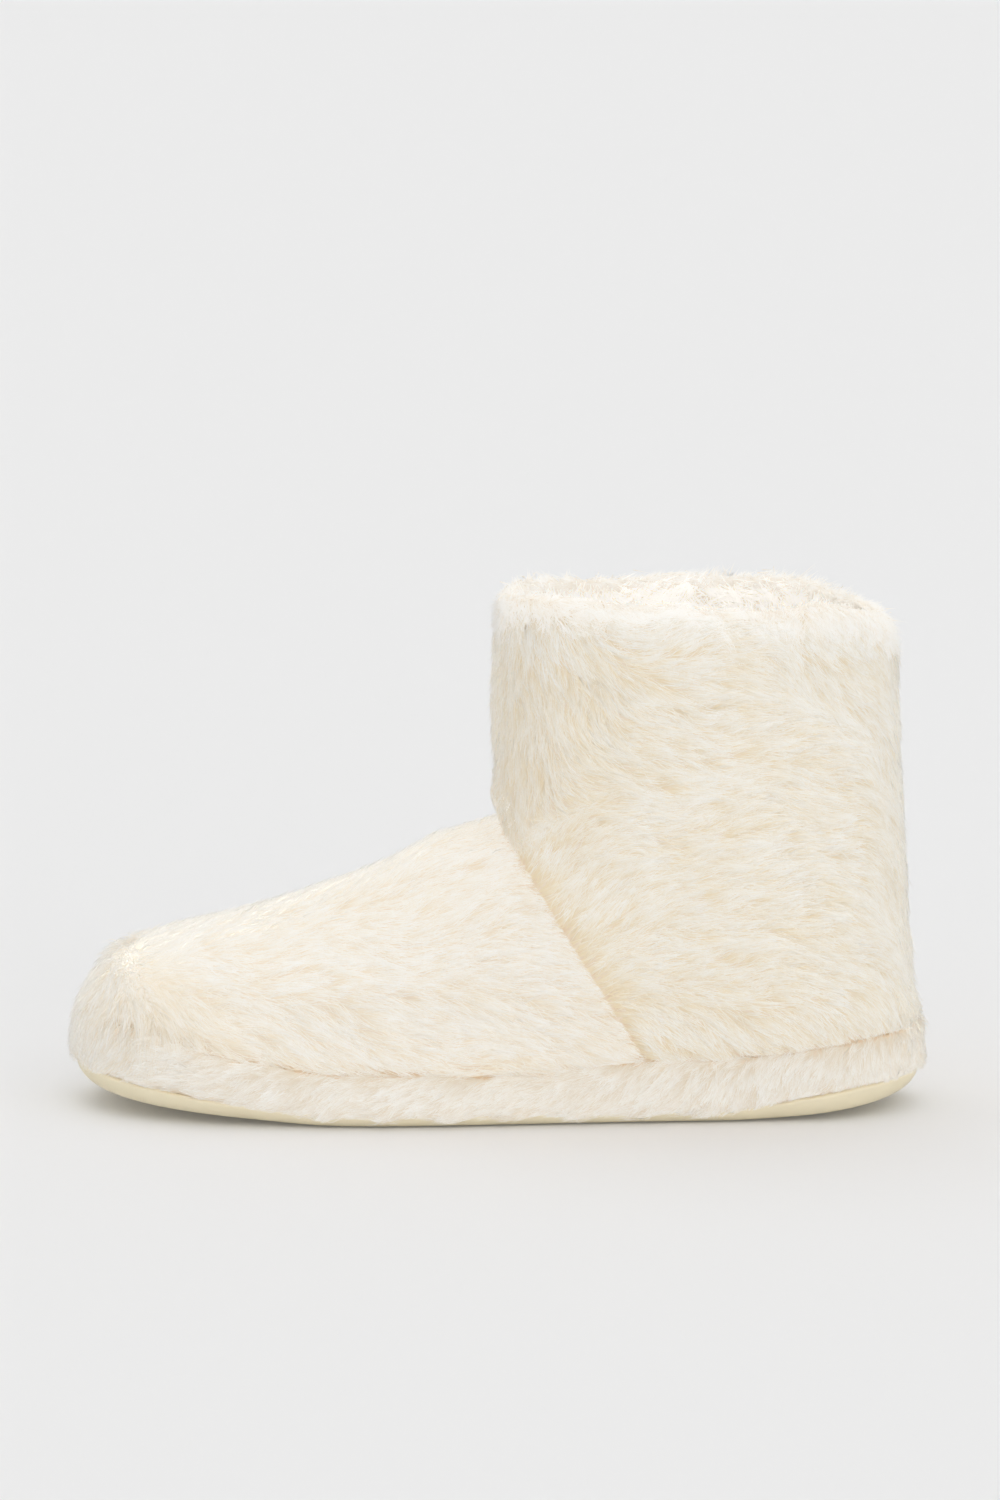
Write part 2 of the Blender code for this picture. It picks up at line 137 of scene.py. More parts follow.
# A coat of fur. Length, rise, a lock's spread, a strand's width and a comb stroke's reach are in mm, wave and
# ruffle in degrees. Loose and flecks are shares of strands and locks, and sky turns their shading upwards.
Pile = namedtuple(
    "Pile", "strands length rise spread width reach wave ruffle loose sky flecks partings",
    defaults=[0, 0.03, 0],
)
QUARTER_PILE = Pile(
    strands=62000, length=10.0, rise=2.4, spread=1.1, width=0.27, reach=7.0, wave=9, ruffle=8,
    loose=0.3, sky=0, flecks=0.03, partings=190,
)
VAMP_PILE = QUARTER_PILE._replace(spread=1.25, partings=90)
BAND_PILE = Pile(
    strands=44000, length=8.0, rise=2.4, spread=0.75, width=0.27, reach=14.0, wave=9, ruffle=15,
    loose=0.3, sky=0.2, flecks=0.15, partings=110,
)
LINING_PILE = Pile(
    strands=46000, length=4.2, rise=1.7, spread=1.1, width=0.38, reach=14.0, wave=30, ruffle=30,
    loose=0.4, sky=0.4, flecks=0,
)
COLLAR_PILE = Pile(
    strands=27000, length=6.0, rise=2.6, spread=1.0, width=0.32, reach=14.0, wave=20, ruffle=25,
    loose=0.4, sky=0.5, flecks=0,
)
INSOLE_PILE = Pile(
    strands=7000, length=5.0, rise=2.6, spread=1.0, width=0.40, reach=30.0, wave=30, ruffle=30, loose=0.4,
)

# Colours of a strand, 0 to 255 on a screen: its root, body and tip, the shade of a low tone, and a glow of
# painted light
Fur = namedtuple("Fur", "root body tip shade glow", defaults=[0.0])
IVORY = Fur((231, 213, 179), (244, 241, 233), (248, 247, 243), (235, 219, 187))
PALE_IVORY = Fur((236, 221, 196), (245, 242, 235), (248, 247, 244), (239, 226, 202))
BAND_IVORY = Fur((230, 216, 193), (244, 241, 234), (247, 246, 241), (229, 216, 195))
# White and milk plush glow a little: painted light for the light that scatters through the pile
WHITE = Fur((247, 242, 233), (252, 250, 246), (254, 253, 251), (247, 241, 231), glow=0.22)
MILK = Fur((233, 225, 212), (238, 235, 229), (241, 240, 237), (233, 225, 211), glow=0.12)
# Tan of the roots, also painted as shade along grooves of the backing
TAN_ROOTS_AND_SHADE = (222, 196, 160)


def unit(vectors):
    lengths = np.linalg.norm(vectors, axis=-1, keepdims=True)
    return vectors / np.maximum(lengths, 1e-12)


def dot(a, b):
    return np.sum(a * b, axis=-1, keepdims=True)


def ramp(values, start, end):
    """0 at the start, rising evenly to 1 at the end."""
    return np.clip((values - start) / (end - start), 0, 1)


def bell(distances, width):
    """1 at no distance, falling off smoothly over the width."""
    return np.exp(-((distances / width) ** 2))


def swing(flow, normals, angle):
    """Directions along a surface, turned by an angle about its normals."""
    return unit(flow * np.cos(angle) + np.cross(normals, flow) * np.sin(angle))


def ripple(points, size, seed):
    """A smooth random value at each point, about -1 to 1, that changes over the given size."""
    chance = np.random.default_rng(seed)
    total = np.zeros(len(points))
    for _ in range(8):
        direction = unit(chance.normal(size=3)) * 2 * math.pi / (size * chance.uniform(0.7, 1.5))
        total += np.sin(points @ direction + chance.uniform(0, 2 * math.pi))
    return total / 2.0


def nearest_on_path(side, path):
    """The nearest place on a path to each x and z, and how far off it is, in the side view."""
    places = np.zeros_like(side)
    nearest = np.full(len(side), np.inf)
    for start, end in zip(path[:-1], path[1:]):
        along = end - start
        share = np.clip((side - start) @ along / (along @ along), 0, 1)
        at = start + share[:, None] * along
        off = np.linalg.norm(side - at, axis=1)
        closer = off < nearest
        nearest[closer] = off[closer]
        places[closer] = at[closer]
    return places, nearest


def off_path(points, path):
    """How far each point lies from a path, in the side view."""
    return nearest_on_path(points[:, [0, 2]], path)[1]


def behind_seam(points):
    """How far each point lies on the heel side of the vamp seam, in the side view."""
    top, foot = VAMP_SEAM[0], VAMP_SEAM[-1]
    along = (foot - top) / np.linalg.norm(foot - top)
    side = points[:, [0, 2]] - top
    return -side[:, 0] * along[1] + side[:, 1] * along[0]


def above_band(points):
    """How high each point lies above the top edge of the fur band."""
    return points[:, 2] - np.interp(points[:, 0], *BAND_TOP.T)


def above_foot(points):
    """How high each point lies above the bottom edge of the fur band."""
    return points[:, 2] - np.interp(points[:, 0], *BAND_FOOT.T)


def toe_share(points):
    """1 at the toe, where band and vamp carry one coat of fur, and 0 behind it."""
    return ramp(points[:, 0], *TOE_COAT)


def faces_out(points, normals):
    """Above 0 where a wall of the upper faces away from the hollow, below 0 where it faces in."""
    middle, _ = nearest_on_path(points[:, [0, 2]], HOLLOW)
    centre = np.column_stack([middle[:, 0], np.zeros(len(points)), middle[:, 1]])
    return dot(unit(points - centre), normals)[:, 0]


def activate(piece):
    bpy.ops.object.select_all(action="DESELECT")
    piece.select_set(True)
    bpy.context.view_layer.objects.active = piece


def apply_modifier(piece, kind, **settings):
    activate(piece)
    modifier = piece.modifiers.new(kind.lower(), kind)
    for name, value in settings.items():
        setattr(modifier, name, value)
    bpy.ops.object.modifier_apply(modifier=modifier.name)


def merged_copy(solid, name):
    """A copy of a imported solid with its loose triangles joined."""
    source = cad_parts[solid]
    piece = bpy.data.objects.new(name, source.data.copy())
    bpy.context.scene.collection.objects.link(piece)
    activate(piece)
    bpy.ops.object.mode_set(mode="EDIT")
    bpy.ops.mesh.select_all(action="SELECT")
    bpy.ops.mesh.remove_doubles(threshold=0.00001)
    bpy.ops.object.mode_set(mode="OBJECT")
    piece.data.materials.clear()
    return piece


def move_points(piece, moves):
    points = np.empty((len(piece.data.vertices), 3), np.float32)
    piece.data.vertices.foreach_get("co", points.ravel())
    piece.data.vertices.foreach_set("co", (points + moves).astype(np.float32).ravel())
    piece.data.update()


def skin_from(points, normals, triangles):
    corners = points[triangles]
    across = np.cross(corners[:, 1] - corners[:, 0], corners[:, 2] - corners[:, 0])
    areas = np.linalg.norm(across, axis=1) / 2
    tree = BVHTree.FromPolygons(points.tolist(), triangles.tolist())
    return Skin(points, normals, triangles, corners.mean(1), unit(across), areas, tree)


def skin_of(piece):
    mesh = piece.data
    mesh.calc_loop_triangles()
    points = np.empty((len(mesh.vertices), 3), np.float32)
    mesh.vertices.foreach_get("co", points.ravel())
    normals = np.empty_like(points)
    mesh.vertex_normals.foreach_get("vector", normals.ravel())
    triangles = np.empty((len(mesh.loop_triangles), 3), np.int32)
    mesh.loop_triangles.foreach_get("vertices", triangles.ravel())
    return skin_from(points.astype(float), normals.astype(float), triangles)


def skin_over_toe(skin, upper, band):
    """The skin of the upper, and in front of TOE_COAT one smooth form over its toe and the band."""
    forms = [bpy.data.objects.new("toe form", piece.data.copy()) for piece in (upper, band)]
    bpy.ops.object.select_all(action="DESELECT")
    for form in forms:
        bpy.context.scene.collection.objects.link(form)
        form.select_set(True)
    bpy.context.view_layer.objects.active = forms[0]
    bpy.ops.object.join()
    apply_modifier(forms[0], "REMESH", mode="VOXEL", voxel_size=2.2 * MM, use_smooth_shade=True)
    apply_modifier(forms[0], "SMOOTH", factor=0.5, iterations=14)
    toe = skin_of(forms[0])
    # Its rear edge is drawn onto the upper, so that the two skins meet.
    near = toe.points[:, 0] > TOE_COAT[1] - 6 * MM
    share = 1 - ramp(toe.points[near, 0], TOE_COAT[0], TOE_COAT[0] - 18 * MM)
    share *= ramp(above_band(toe.points[near]), 0, 8 * MM)
    moves = np.zeros_like(toe.points)
    moves[near] = (settle(skin, toe.points[near])[0] - toe.points[near]) * share[:, None]
    move_points(forms[0], moves)
    toe = skin_of(forms[0])
    bpy.data.objects.remove(forms[0])
    behind = skin.triangles[skin.centres[:, 0] > TOE_COAT[0]]
    ahead = toe.triangles[toe.centres[:, 0] <= TOE_COAT[0]] + len(skin.points)
    return skin_from(
        np.concatenate([skin.points, toe.points]),
        np.concatenate([skin.normals, toe.normals]),
        np.concatenate([behind, ahead]),
    )


def settle(skin, points):
    """The nearest places on the skin to the points, and the normals there."""
    places = np.empty_like(points)
    normals = np.empty_like(points)
    for n, point in enumerate(points):
        place, _, face, _ = skin.tree.find_nearest(Vector(point))
        places[n] = place
        normals[n] = skin.normals[skin.triangles[face]].mean(0)
    return places, unit(normals)


def press_creases(piece):
    """Presses the creases of the fur and the pull of the vamp seam into the outer wall."""
    skin = skin_of(piece)
    depth = np.zeros(len(skin.points))
    for path, half_width, deep in CREASES:
        depth += deep * MM * bell(off_path(skin.points, np.array(path) * MM), half_width * MM)
    half_width, deep = SEAM_CREASE
    depth += deep * MM * bell(off_path(skin.points, VAMP_SEAM), half_width * MM)
    outer = ramp(faces_out(skin.points, skin.normals), 0, 0.25)
    move_points(piece, -skin.normals * (depth * outer)[:, None])


def wall_depth(skin):
    """How thick the wall is behind each point of the skin."""
    start_in, farthest = 0.3 * MM, 30 * MM
    depth = np.full(len(skin.points), farthest)
    starts = skin.points - skin.normals * start_in
    for n, (start, normal) in enumerate(zip(starts, skin.normals)):
        distance = skin.tree.ray_cast(Vector(start), Vector(-normal), farthest)[3]
        if distance is not None:
            depth[n] = distance + start_in
    return depth


def backing(solid, name, voxel, rounds, sink_at):
    """The knitted backing that carries the pile: the solid's form, drawn in by the depth of the pile."""
    piece = merged_copy(solid, name)
    apply_modifier(piece, "REMESH", mode="VOXEL", voxel_size=voxel * MM, use_smooth_shade=True)
    apply_modifier(piece, "SMOOTH", factor=0.5, iterations=rounds)
    skin = skin_of(piece)
    move_points(piece, -skin.normals * sink_at(skin)[:, None])
    apply_modifier(piece, "SMOOTH", factor=0.4, iterations=4)
    return piece


def upper_sink(skin):
    """The upper keeps its full form beside the band, and its hem comes down onto the band."""
    points, normals = skin.points, skin.normals
    over_band = ramp(above_band(points), 0, 14 * MM)
    outer = faces_out(points, normals) > 0
    hem = np.clip(-normals[:, 2], 0, 1) * (above_band(points) < 8 * MM)
    spare = wall_depth(skin) - BACKING_CORE
    outer_sink = np.minimum((0.9 + 2.2 * over_band + 0.8 * toe_share(points)) * MM, spare)
    inner_sink = np.clip(spare - outer_sink, 0, LINING_DEPTH)
    return np.where(outer, outer_sink, inner_sink) - HEM_DROP * hem


def band_sink(skin):
    """The band is drawn in on its side only, and keeps its foot on the rubber."""
    points, normals = skin.points, skin.normals
    up = np.clip(normals[:, 2], 0, 1)
    down = np.clip(-normals[:, 2], 0, 1)
    high = ramp(above_foot(points), 0, 6 * MM)
    ends = np.interp(points[:, 0], *BAND_ENDS.T)
    heel = ramp(points[:, 0], 104 * MM, 120 * MM)
    low_side = 1.2 + 1.6 * ends + 0.4 * toe_share(points) + 0.6 * heel
    high_side = 2.6 + 2.0 * toe_share(points) + 1.6 * heel
    side = low_side + (high_side - low_side) * high
    return (side + (0.4 - side) * up - (1.0 - ends + side) * down) * MM


def insole_sink(skin):
    return np.full(len(skin.points), 1.2 * MM)


def tuck_foot(band):
    """Tucks the foot of the band in behind the top edge of the rubber, at toe and heel."""
    skin = skin_of(band)
    share = np.interp(skin.points[:, 0], *BAND_ENDS.T) * ramp(above_foot(skin.points), 3 * MM, 0)
    moves = skin.normals * (-0.8 * MM, -0.8 * MM, 0) + np.array([0, 0, -1.4 * MM])
    move_points(band, moves * share[:, None])


def collar_puff(points):
    """How far the roll of the collar puffs up, from its outer over to its inner side."""
    inner = ramp(points[:, 1], -30 * MM, 30 * MM)
    outer_puff = np.interp(points[:, 0], *OUTER_PUFF.T)
    inner_puff = np.interp(points[:, 0], *INNER_PUFF.T)
    return outer_puff * (1 - inner) + inner_puff * inner


def round_collar(piece):
    """Lets the collar slump at its front and back corners, as soft pile does."""
    points = skin_of(piece).points
    height = ramp(points[:, 2], 136 * MM, 158 * MM) ** 1.5
    back = ramp(points[:, 0], 96 * MM, 124 * MM) ** 2 * height
    front = ramp(points[:, 0], 16 * MM, -2 * MM) ** 2 * height
    moves = np.zeros_like(points)
    moves[:, 0] = (0.8 * front - 3.4 * back) * MM
    moves[:, 2] = (-3.6 * front - 2.8 * back) * MM
    moves[:, 2] += collar_puff(points) * ramp(points[:, 2], 140 * MM, 154 * MM)
    move_points(piece, moves)


def mark_grooves(piece, width, ground):
    """Marks where tan roots and painted shade show: most along the top edge of the band and along the vamp
    seam.
    """
    skin = skin_of(piece)
    points = skin.points
    groove = bell(above_band(points), width) + bell(off_path(points, VAMP_SEAM), 1.8 * MM)
    ground = ground * (1 - 0.8 * toe_share(points))
    groove = np.maximum(groove, ground * np.clip(faces_out(points, skin.normals) * 3, 0, 1))
    layer = piece.data.attributes.new("groove", "FLOAT", "POINT")
    layer.data.foreach_set("value", np.clip(groove, 0, 1).astype(np.float32))


def comb(points, normals, strokes, reach, wave):
    """Which way the pile lies at each point, as unit vectors along the surface.

    Also how firmly it lies that way: 1 where the strokes agree, and near 0 where the pile parts.
    """
    table = np.array(strokes, float)
    sweep = table[:, 3] if table.shape[1] > 3 else np.zeros(len(table))
    side = points[:, None, [0, 2]] - table[None, :, :2] * MM
    off = np.sum(side**2, axis=2)
    off -= off.min(axis=1, keepdims=True)
    weight = np.exp(-off / (2 * (reach * MM) ** 2))
    turn = np.radians(table[:, 2])
    flow = weight @ unit(np.column_stack([np.cos(turn), -sweep, np.sin(turn)]))
    firm = np.linalg.norm(flow, axis=1, keepdims=True) / weight.sum(1, keepdims=True)
    flow = unit(flow)
    flow -= normals * dot(flow, normals)
    along = np.linalg.norm(flow, axis=1, keepdims=True)
    firm *= ramp(along, 0, ALONG_WALL)
    # Where the wall turns its face along the nap, the pile hangs down instead.
    flow += np.maximum(ALONG_WALL - along, 0) * np.array([0, 0, -1.0])
    flow = unit(flow - normals * dot(flow, normals))
    waver = wave * ripple(points, 24 * MM, 11) + 0.8 * wave * ripple(points, 8.5 * MM, 12)
    return swing(flow, normals, np.radians(waver)[:, None]), firm


def outwards(normals):
    """Under an edge the pile springs outwards, not down."""
    level = normals * (1, 1, 0) + np.maximum(normals, 0) * (0, 0, 1)
    return unit(level + 0.05 * normals)


def scatter(skin, share, count, chance):
    """Points spread evenly over the faces of the skin, as thick as share says, and their normals."""
    reach = np.cumsum(skin.areas * share)
    spots = (np.arange(count) + chance.random(count)) / count * reach[-1]
    face = np.searchsorted(reach, spots)
    a, b = chance.random((2, count))
    folded = a + b > 1
    a[folded], b[folded] = 1 - a[folded], 1 - b[folded]
    weights = np.column_stack([1 - a - b, a, b])[:, :, None]
    corner = skin.triangles[face]
    return (skin.points[corner] * weights).sum(1), unit((skin.normals[corner] * weights).sum(1))


def strand_mesh(name, points, corners, shares, tone, normals):
    """One mesh of many strands. Its map has each strand's tone across and root to tip up."""
    count, each = points.shape[:2]
    loops = (np.arange(count)[:, None] * each + np.array(corners)).ravel()
    mesh = bpy.data.meshes.new(name)
    mesh.vertices.add(count * each)
    mesh.vertices.foreach_set("co", points.astype(np.float32).ravel())
    mesh.loops.add(len(loops))
    mesh.loops.foreach_set("vertex_index", loops.astype(np.int32))
    mesh.polygons.add(len(loops) // 3)
    mesh.polygons.foreach_set("loop_start", np.arange(0, len(loops), 3, dtype=np.int32))
    mesh.update(calc_edges=True)
    mesh.shade_smooth()
    places = np.empty((count, each, 2))
    places[:, :, 0] = np.clip(tone, 0.01, 0.99)[:, None] + np.array(shares)[:, 0]
    places[:, :, 1] = np.array(shares)[:, 1]
    layer = mesh.uv_layers.new(name="OFBake")
    layer.uv.foreach_set("vector", places.reshape(-1, 2)[loops].astype(np.float32).ravel())
    mesh.normals_split_custom_set_from_vertices(normals.reshape(-1, 3))
    piece = bpy.data.objects.new(name, mesh)
    bpy.context.scene.collection.objects.link(piece)
    # Light passes through pale fur, so strands don't shade each other.
    piece.visible_shadow = False
    piece.visible_diffuse = False
    return piece


def wisps(name, root, tip, across, normals, width, tone):
    """Three-sided tapering hairs, for fluff that is seen from every side."""
    along = unit(tip - root)
    side = unit(across - along * dot(across, along))
    other = np.cross(along, side)
    ring = np.stack([side, -0.5 * side + 0.87 * other, -0.5 * side - 0.87 * other], axis=1)
    points = np.concatenate([root[:, None] + ring * (width / 2)[:, None, None], tip[:, None]], axis=1)
    facing = np.concatenate([ring * 1.2, along[:, None] * 0.2], axis=1) + normals[:, None]
    shares = ((-0.004, 0.02), (0.004, 0.02), (0, 0.04), (0, 0.98))
    return strand_mesh(name, points, (0, 1, 3, 1, 2, 3, 2, 0, 3), shares, tone, unit(facing))


def ribbons(name, root, middle, tip, across, normals, width, tone):
    """Flat tapering strands, which face the normals' side."""
    half = across * (width / 2)[:, None]
    points = np.stack(
        [root + half, root - half, middle + half * 0.9, middle - half * 0.9, tip], axis=1
    )
    shares = ((-0.004, 0.02), (0.004, 0.02), (-0.004, 0.5), (0.004, 0.5), (0, 0.98))
    facing = np.repeat(normals, 5, axis=0)
    return strand_mesh(name, points, (0, 1, 3, 0, 3, 2, 2, 3, 4), shares, tone, facing)


def no_end(points):
    """The room of a coat without an edge."""
    return np.ones(len(points))


def ruffled(points):
    """How wild the locks lie at each point, 0 where they are combed."""
    wild = np.zeros(len(points))
    for x, z, radius, times in RUFFLES:
        wild += times * bell(np.hypot(points[:, 0] - x * MM, points[:, 2] - z * MM), radius * MM)
    return wild[:, None]


def partings(skin, share, count, tone_at, chance):
    """Small places where the locks part and their tan roots show, more of them where the tone is low."""
    if not count:
        return np.full((1, 3), np.inf)
    return scatter(skin, share * np.clip(1.2 - tone_at(skin.centres), 0.1, 1) ** 2, count, chance)[0]


def nearness(points, places, radius):
    """1 at a place, falling to 0 at the radius round it."""
    off = np.full(len(points), np.inf)
    for place in places:
        off = np.minimum(off, np.linalg.norm(points - place, axis=1))
    return np.clip(1.4 - 1.4 * off / radius, 0, 1)


def share_inside(inside, left):
    """How much of the way between two points lies in the panel, from the room at each of them."""
    return np.where(left < 0, inside / np.maximum(inside - left, 1e-9), 1)


def grow(name, skin, share, strokes, pile, tone_at, seed, room_at=no_end, fluffy=False):
    """Grows a coat of fur lock by lock. Each lock follows the comb along the skin in two steps.

    room_at says how far a point still is from the edge of its panel, past which no lock reaches.
    """
    chance = np.random.default_rng(seed)
    locks = pile.strands // LOCK
    root, up = scatter(skin, share, locks, chance)
    lie, firm = comb(root, up, strokes, pile.reach, pile.wave)
    slack = ramp(firm, 0.8, 0.2)  # where the pile parts, it stands up
    wild = ruffled(root)
    lie = swing(lie, up, np.radians(pile.ruffle * chance.normal(size=(locks, 1))) * (1 + wild))
    length = pile.length * MM * chance.uniform(*LOCK_RANGE, (locks, 1)) * (1 - 0.35 * slack)
    room = room_at(root)
    rise = pile.rise * MM * chance.uniform(*LOCK_RANGE, (locks, 1)) * (1 + 0.3 * slack)
    rise *= np.clip(0.35 + room / (7 * MM), 0.35, 1)[:, None] * (1 + 0.2 * wild)
    parted = partings(skin, share, pile.partings, tone_at, chance)
    for _ in range(2):
        middle, middle_up = settle(skin, root + lie * length * 0.5 + up * LIFT)
        bend, _ = comb(middle, middle_up, strokes, pile.reach, pile.wave)
        bend = unit(bend + lie)
        tip, tip_up = settle(skin, middle + bend * length * 0.5 + middle_up * LIFT)
        left = room_at(tip)
        over = np.maximum(nearness(tip, parted, PARTING), nearness(middle, parted, PARTING))
        over *= 1 - nearness(root, parted, PARTING)
        kept = np.minimum(share_inside(room, left), 1 - 0.5 * over)
        length = length * np.clip(kept, 0.3, 1)[:, None]
    lower = np.clip(0.3 + left / (6 * MM), 0.3, 1)[:, None]  # tips lie down at the edge of the panel

    # A lock with too little room to lie down is left out, and so is one that slips through the wall.
    steady = np.minimum(dot(up, middle_up), dot(middle_up, tip_up))[:, 0] > -0.2
    lock = np.repeat(np.flatnonzero(steady & (length[:, 0] > 0.35 * pile.length * MM)), LOCK)
    count = len(lock)
    spread = pile.spread * MM * chance.normal(size=(count, 2))
    spread[chance.random(count) < pile.loose] *= LOOSE_SPREAD
    across, along = spread[:, :1], spread[:, 1:]
    sideways = np.cross(up, lie)[lock]
    bent_sideways = unit(np.cross(middle_up, bend))[lock]
    own_rise = rise[lock] * chance.uniform(*STRAND_RANGE, (count, 1))
    reach = length[lock] * chance.normal(0, 0.1, (count, 1))
    stray = 0.35 * MM * chance.normal(size=(count, 2))
    start = root[lock] + sideways * across + lie[lock] * along
    waist = middle[lock] + bent_sideways * (across * 0.8 + stray[:, :1]) + bend[lock] * (along + reach * 0.5)
    waist += outwards(middle_up)[lock] * own_rise * 0.8
    end = tip[lock] + bent_sideways * (across * 0.4 + stray[:, 1:]) + bend[lock] * (along + reach)
    tip_up = outwards(tip_up)[lock]
    end += tip_up * own_rise * lower[lock] * chance.uniform(0.75, 1.15, (count, 1))
    stray_tip = chance.random(count) < STRAY_TIPS
    end[stray_tip] += tip_up[stray_tip] * STRAY_RISE
    # Each strand ends at the edge of its panel, and one with too little room to lie down is left out.
    inside = room_at(waist)
    trim = share_inside(inside, room_at(end))
    end = waist + (end - waist) * np.clip(trim, 0.15, 1)[:, None]
    kept = (np.linalg.norm(end - start, axis=1) > 0.3 * pile.length * MM) & (inside > 0.2 * MM)
    for line in (start, waist, end):
        line[:, 2] = np.maximum(line[:, 2], FLOOR_GAP)

    roll = STRAND_ROLL * chance.normal(size=(count, 1))
    flat = unit(bent_sideways * np.cos(roll) + middle_up[lock] * np.sin(roll))
    round_off = np.clip(across / (pile.spread * MM), -1.6, 1.6)
    normals = outwards(middle_up)[lock] + bent_sideways * round_off * 0.22 + bend[lock] * 0.12
    normals = unit(normals + 0.10 * chance.normal(size=(count, 3)) + np.array([0, 0, pile.sky]))
    lock_tone = tone_at(root) + 0.10 * chance.normal(size=locks)
    lock_tone[chance.random(locks) < pile.flecks] -= FLECK_SHADE
    lock_tone -= PARTING_SHADE * nearness(root, parted, SHADED_PARTING)
    tone = lock_tone[lock]
    # Strands at the sides of a lock are a little darker: painted shade in the gaps between locks
    tone += 0.07 * chance.normal(size=count) - 0.05 * np.abs(round_off[:, 0])
    width = pile.width * MM * chance.uniform(*STRAND_RANGE, count)
    if fluffy:
        return wisps(name, *(part[kept] for part in (start, end, flat, normals, width, tone)))
    return ribbons(name, *(part[kept] for part in (start, waist, end, flat, normals, width, tone)))


def node(tree, kind, **settings):
    made = tree.nodes.new(kind)
    for name, value in settings.items():
        setattr(made, name, value)
    return made


def colour_mix(tree):
    return node(tree, "ShaderNodeMix", data_type="RGBA")


def ranged(tree, start, end, low=0.0, high=1.0, kind="LINEAR"):
    """A node that takes values from start to end over to values from low to high."""
    made = node(tree, "ShaderNodeMapRange", interpolation_type=kind)
    preset(made, {"From Min": start, "From Max": end, "To Min": low, "To Max": high})
    return made


def preset(made, values):
    for name, value in values.items():
        made.inputs[name].default_value = value


def wire(tree, *links):
    for source, output, target, entry in links:
        tree.links.new(source.outputs[output], target.inputs[entry])


def new_group(name, inputs, outputs):
    """An empty node group with its input and output nodes. Sockets are given as names and kinds."""
    group = bpy.data.node_groups.new(name, "ShaderNodeTree")
    for way, kinds in (("INPUT", inputs), ("OUTPUT", outputs)):
        for socket, kind in kinds.items():
            group.interface.new_socket(name=socket, in_out=way, socket_type="NodeSocket" + kind)
    return group, node(group, "NodeGroupInput"), node(group, "NodeGroupOutput")


def strand_group():
    """Colour of a strand from its root, over its body, to its tip. A low tone shades its lower half."""
    group, into, out = new_group(
        "strand colour",
        {
            "Root": "Color", "Body": "Color", "Tip": "Color", "Shade": "Color",
            "Tone": "Float", "Along": "Float",
        },
        {"Color": "Color", "Roughness": "Float"},
    )
    low = ranged(group, 0.1, 0.62, kind="SMOOTHSTEP")
    high = ranged(group, 0.5, 1.0, kind="SMOOTHSTEP")
    lightened = ranged(group, 0.35, 1.2)
    gloss = ranged(group, 0.0, 1.0, 0.8, 0.52)
    stem, end, shaded = (colour_mix(group) for _ in range(3))
    wire(
        group,
        (into, "Along", low, "Value"),
        (low, "Result", stem, "Factor"),
        (into, "Root", stem, "A"),
        (into, "Body", stem, "B"),
        (into, "Along", high, "Value"),
        (high, "Result", end, "Factor"),
        (stem, "Result", end, "A"),
        (into, "Tip", end, "B"),
        (into, "Along", lightened, "Value"),
        (into, "Tone", lightened, "To Min"),
        (lightened, "Result", shaded, "Factor"),
        (into, "Shade", shaded, "A"),
        (end, "Result", shaded, "B"),
        (shaded, "Result", out, "Color"),
        (into, "Along", gloss, "Value"),
        (gloss, "Result", out, "Roughness"),
    )
    return group


def srgb(red, green, blue):
    """A colour read as 0 to 255 on a screen, as the shader takes it."""
    def lit(value):
        value /= 255
        return value / 12.92 if value <= 0.04045 else ((value + 0.055) / 1.055) ** 2.4

    return lit(red), lit(green), lit(blue), 1.0


def blank_material(name):
    finish = bpy.data.materials.new(name)
    finish.use_nodes = True
    return finish, finish.node_tree, finish.node_tree.nodes["Principled BSDF"]


def fur_finish(name, group, fur):
    finish, tree, shader = blank_material(name)
    places = node(tree, "ShaderNodeUVMap", uv_map="OFBake")
    split = node(tree, "ShaderNodeSeparateXYZ")
    strand = node(tree, "ShaderNodeGroup", node_tree=group)
    for part, colour in zip(("Root", "Body", "Tip", "Shade"), fur):
        preset(strand, {part: srgb(*colour)})
    preset(shader, {
        "Specular IOR Level": 0.25,
        "Sheen Weight": 0.2,
        "Sheen Roughness": 0.5,
        "Sheen Tint": srgb(255, 250, 240),
    })
    # The plush glows in its own colour: painted light for the light that scatters through it
    if fur.glow:
        preset(shader, {"Emission Strength": fur.glow})
        wire(tree, (strand, "Color", shader, "Emission Color"))
    # Seen from behind, a strand shows the light that falls on its face, duller towards its root.
    root, body = np.array(fur.root), np.array(fur.body)
    seen_through = colour_mix(tree)
    preset(seen_through, {"A": srgb(*(0.1 * root + 0.9 * body - 22)), "B": srgb(*(body - 14))})
    through = node(tree, "ShaderNodeBsdfTranslucent")
    side = node(tree, "ShaderNodeNewGeometry")
    both = node(tree, "ShaderNodeMixShader")
    wire(
        tree,
        (places, "UV", split, "Vector"),
        (split, "X", strand, "Tone"),
        (split, "Y", strand, "Along"),
        (strand, "Color", shader, "Base Color"),
        (strand, "Roughness", shader, "Roughness"),
        (split, "Y", seen_through, "Factor"),
        (seen_through, "Result", through, "Color"),
        (side, "Backfacing", both, "Fac"),
        (shader, "BSDF", both, 1),
        (through, "BSDF", both, 2),
        (both, "Shader", tree.nodes["Material Output"], "Surface"),
    )
    return finish


